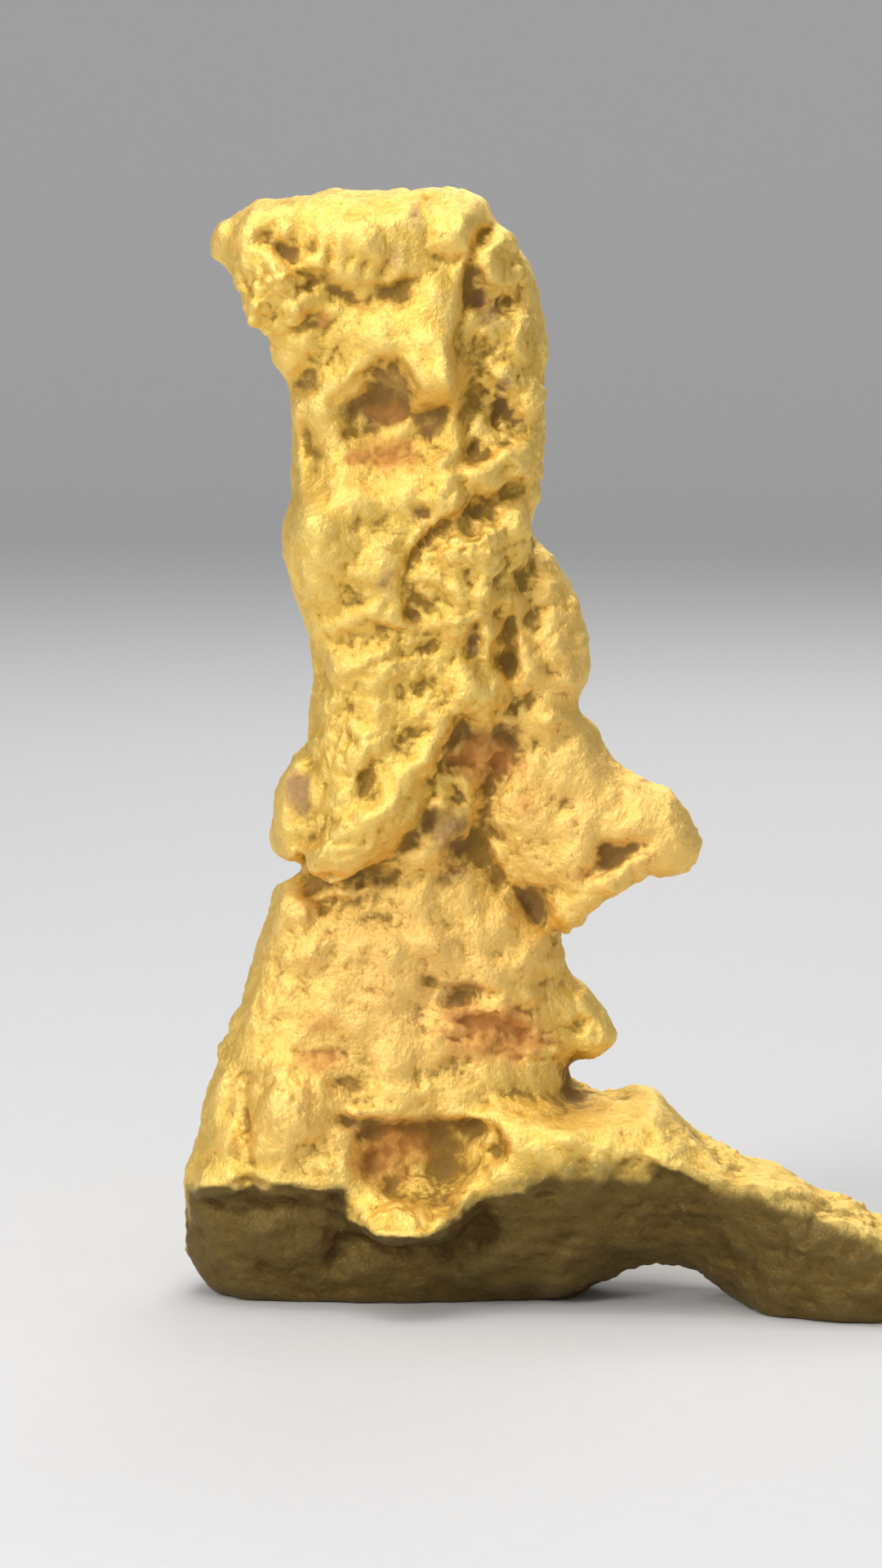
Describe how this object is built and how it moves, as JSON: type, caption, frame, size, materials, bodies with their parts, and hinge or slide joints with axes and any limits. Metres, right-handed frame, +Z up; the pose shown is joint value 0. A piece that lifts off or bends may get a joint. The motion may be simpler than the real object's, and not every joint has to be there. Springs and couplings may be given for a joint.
{
  "type": "gold nugget",
  "caption": "Upright boot-shaped native gold nugget with a lumpy leg, side spurs, deep hollows and a long tapering toe; stands free on its worn flat sole.",
  "frame": {"origin": "on the worn flat under the heel, which the nugget stands on, below the middle of the leg", "axes": "+Z up along the leg, +X along the foot towards the toe, -Y towards the front, which has the deep hollows"},
  "size_m": [0.1856, 0.071, 0.2725],
  "materials": {
    "native_gold": "rough natural gold, bright and worn on its high spots, with brown and orange earth left in its hollows"
  },
  "bodies": {
    "root": {"nugget": "native_gold"}
  },
  "joints": []
}
